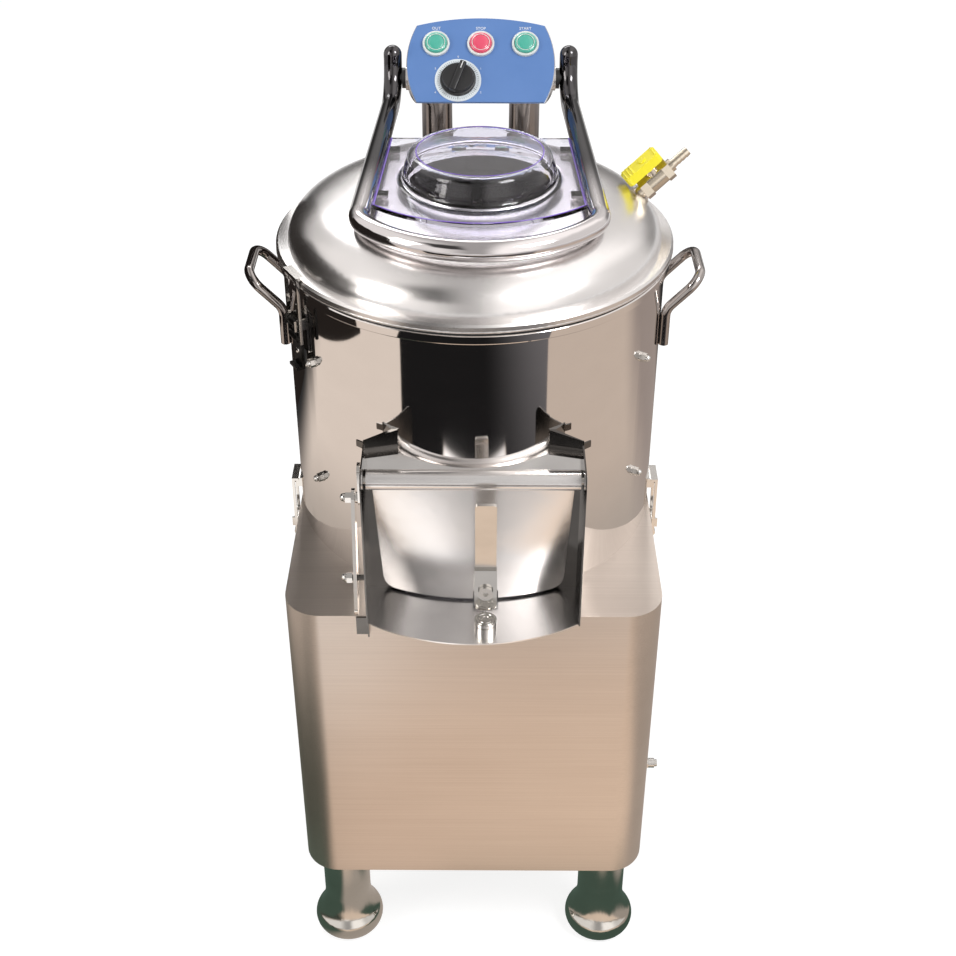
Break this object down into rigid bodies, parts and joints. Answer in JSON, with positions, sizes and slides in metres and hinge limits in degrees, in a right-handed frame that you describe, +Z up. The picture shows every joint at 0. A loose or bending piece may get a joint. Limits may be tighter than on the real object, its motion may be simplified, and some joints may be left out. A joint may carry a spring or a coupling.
{
  "type": "electric potato peeler",
  "caption": "Free-standing electric potato peeler: polished barrel with abrasive disc, lidded feed, side chute with hinged door, tilted control box on posts, cabinet on legs.",
  "frame": {"origin": "on the floor, under the middle of the bounding box", "axes": "+Z up, -Y towards the user and the discharge chute, +X to the user's right"},
  "size_m": [0.46, 0.564, 0.9406],
  "materials": {
    "abrasive": "coarse grit",
    "bearing_steel": "ground",
    "bezel_white": "glossy",
    "black_plastic": "semi-matte",
    "bracket_steel": "painted",
    "brushed_sheet": "brushed",
    "button_green": "translucent",
    "button_red": "translucent",
    "cast_housing": "as cast",
    "cast_pulley": "machined",
    "clear_plastic": "clear",
    "dial_white": "printed",
    "fasteners": "polished",
    "latch_steel": "polished",
    "leg_steel": "satin",
    "lever_yellow": "moulded",
    "mirror_steel": "polished",
    "motor_grey": "painted",
    "nickel_brass": "plated",
    "panel_blue": "printed film",
    "pipe_steel": "satin",
    "post_steel": "polished",
    "rod_steel": "polished",
    "rubber_black": "matte",
    "satin_steel": "satin",
    "shaft_steel": "turned",
    "tube_steel": "polished"
  },
  "bodies": {
    "machine": {"abrasive_liners": "abrasive", "acorn_nuts": "fasteners", "barrel": "mirror_steel", "barrel_floor": "mirror_steel", "barrel_handles": "rod_steel", "base_cabinet": "brushed_sheet", "base_plate": "brushed_sheet", "bearing_housing": "cast_housing", "bearings": "bearing_steel", "button_bezels": "bezel_white", "cabinet_screws": "fasteners", "cable_gland": "black_plastic", "catch_roller": "fasteners", "chute_floor": "mirror_steel", "chute_hood": "mirror_steel", "chute_sides": "mirror_steel", "control_box": "satin_steel", "control_panel": "panel_blue", "drain_pipe": "pipe_steel", "drive_belt": "rubber_black", "foot_soles": "rubber_black", "hose_barb": "nickel_brass", "latch_plates": "latch_steel", "legs": "leg_steel", "lid": "satin_steel", "lid_gasket": "rubber_black", "motor_body": "motor_grey", "motor_bracket": "bracket_steel", "pivot_bolts": "black_plastic", "rear_cover": "brushed_sheet", "switch_bodies": "black_plastic", "terminal_stud": "fasteners", "timer_dial": "dial_white", "tower_posts": "post_steel", "valve_body": "nickel_brass"},
    "cover": {"cover_frame": "tube_steel", "clear_cover": "clear_plastic", "cover_screws": "fasteners"},
    "door": {"door_panel": "mirror_steel", "lever_screw": "fasteners", "door_crank": "rod_steel"},
    "catch_lever": {"door_lever": "rod_steel"},
    "stay": {"stay_bar": "rod_steel"},
    "button_left": {"button_left": "button_green"},
    "button_middle": {"button_middle": "button_red"},
    "button_right": {"button_right": "button_green"},
    "timer": {"timer_knob": "black_plastic"},
    "valve_tap": {"valve_lever": "lever_yellow"},
    "spindle": {"drive_shaft": "shaft_steel", "abrasive_disc": "abrasive", "large_pulley": "cast_pulley"},
    "motor_shaft": {"motor_rotor": "cast_pulley"},
    "lid_latch_front_lever": {"lid_latch_front_lever": "latch_steel"},
    "lid_latch_front_bail": {"lid_latch_front_bail": "latch_steel"},
    "lid_latch_rear_lever": {"lid_latch_rear_lever": "latch_steel"},
    "lid_latch_rear_bail": {"lid_latch_rear_bail": "latch_steel"},
    "base_latch_left_lever": {"base_latch_left_lever": "latch_steel"},
    "base_latch_left_bail": {"base_latch_left_bail": "latch_steel"},
    "base_latch_right_lever": {"base_latch_right_lever": "latch_steel"},
    "base_latch_right_bail": {"base_latch_right_bail": "latch_steel"}
  },
  "joints": [
    {"name": "cover_hinge", "type": "hinge", "parent": "machine", "child": "cover", "pos_m": [0.005, 0.227, 0.88714], "axis": [-1, 0, 0], "range_deg": [0, 80]},
    {"name": "door_hinge", "type": "hinge", "parent": "machine", "child": "door", "pos_m": [0, -0.213, 0.652], "axis": [-1, 0, 0], "range_deg": [0, 80]},
    {"name": "lever_turn", "type": "hinge", "parent": "door", "child": "catch_lever", "pos_m": [0.012, -0.239, 0.543], "axis": [0, -1, 0], "range_deg": [0, 90]},
    {"name": "stay_swing", "type": "hinge", "parent": "door", "child": "stay", "pos_m": [-0.113, -0.213, 0.632], "axis": [-1, 0, 0], "range_deg": [-94.6, 0]},
    {"name": "push_left", "type": "slide", "parent": "machine", "child": "button_left", "axis": [0, 0.6691, -0.7431], "range_m": [0, 0.003], "stiffness_N_per_m": 400},
    {"name": "push_middle", "type": "slide", "parent": "machine", "child": "button_middle", "axis": [0, 0.6691, -0.7431], "range_m": [0, 0.003], "stiffness_N_per_m": 400},
    {"name": "push_right", "type": "slide", "parent": "machine", "child": "button_right", "axis": [0, 0.6691, -0.7431], "range_m": [0, 0.003], "stiffness_N_per_m": 400},
    {"name": "timer_turn", "type": "hinge", "parent": "machine", "child": "timer", "pos_m": [-0.0197, 0.21095, 0.89006], "axis": [0, 0.6691, -0.7431], "range_deg": [0, 300]},
    {"name": "valve_turn", "type": "hinge", "parent": "machine", "child": "valve_tap", "pos_m": [0.1825, 0.0325, 0.8535], "axis": [-0.6237, -0.1555, 0.766], "range_deg": [0, 90]},
    {"name": "disc_spin", "type": "hinge", "parent": "machine", "child": "spindle", "pos_m": [0, -0.013, 0.505], "axis": [0, 0, 1], "continuous": true},
    {"name": "motor_spin", "type": "hinge", "parent": "machine", "child": "motor_shaft", "pos_m": [0, 0.162, 0.505], "axis": [0, 0, 1], "continuous": true},
    {"name": "lid_latch_front_swing", "type": "hinge", "parent": "machine", "child": "lid_latch_front_lever", "pos_m": [-0.17234, -0.1125, 0.767], "axis": [-0.5, 0.866, 0], "range_deg": [0, 150]},
    {"name": "lid_latch_front_hook", "type": "hinge", "parent": "lid_latch_front_lever", "child": "lid_latch_front_bail", "pos_m": [-0.17234, -0.1125, 0.752], "axis": [-0.5, 0.866, 0], "range_deg": [-195, 0]},
    {"name": "lid_latch_rear_swing", "type": "hinge", "parent": "machine", "child": "lid_latch_rear_lever", "pos_m": [0.17234, 0.0865, 0.767], "axis": [0.5, -0.866, 0], "range_deg": [0, 150]},
    {"name": "lid_latch_rear_hook", "type": "hinge", "parent": "lid_latch_rear_lever", "child": "lid_latch_rear_bail", "pos_m": [0.17234, 0.0865, 0.752], "axis": [0.5, -0.866, 0], "range_deg": [-195, 0]},
    {"name": "base_latch_left_swing", "type": "hinge", "parent": "machine", "child": "base_latch_left_lever", "pos_m": [-0.1995, -0.013, 0.465], "axis": [0, 1, 0], "range_deg": [0, 150]},
    {"name": "base_latch_left_hook", "type": "hinge", "parent": "base_latch_left_lever", "child": "base_latch_left_bail", "pos_m": [-0.1995, -0.013, 0.45], "axis": [0, 1, 0], "range_deg": [-195, 0]},
    {"name": "base_latch_right_swing", "type": "hinge", "parent": "machine", "child": "base_latch_right_lever", "pos_m": [0.1995, -0.013, 0.465], "axis": [0, -1, 0], "range_deg": [0, 150]},
    {"name": "base_latch_right_hook", "type": "hinge", "parent": "base_latch_right_lever", "child": "base_latch_right_bail", "pos_m": [0.1995, -0.013, 0.45], "axis": [0, -1, 0], "range_deg": [-195, 0]}
  ],
  "couplings": [
    {"joint": "stay_swing", "follows": "door_hinge", "ratio": -1.1825},
    {"joint": "motor_spin", "follows": "disc_spin", "ratio": 3.6004},
    {"joint": "lid_latch_front_hook", "follows": "lid_latch_front_swing", "ratio": -1.3},
    {"joint": "lid_latch_rear_hook", "follows": "lid_latch_rear_swing", "ratio": -1.3},
    {"joint": "base_latch_left_hook", "follows": "base_latch_left_swing", "ratio": -1.3},
    {"joint": "base_latch_right_hook", "follows": "base_latch_right_swing", "ratio": -1.3}
  ]
}
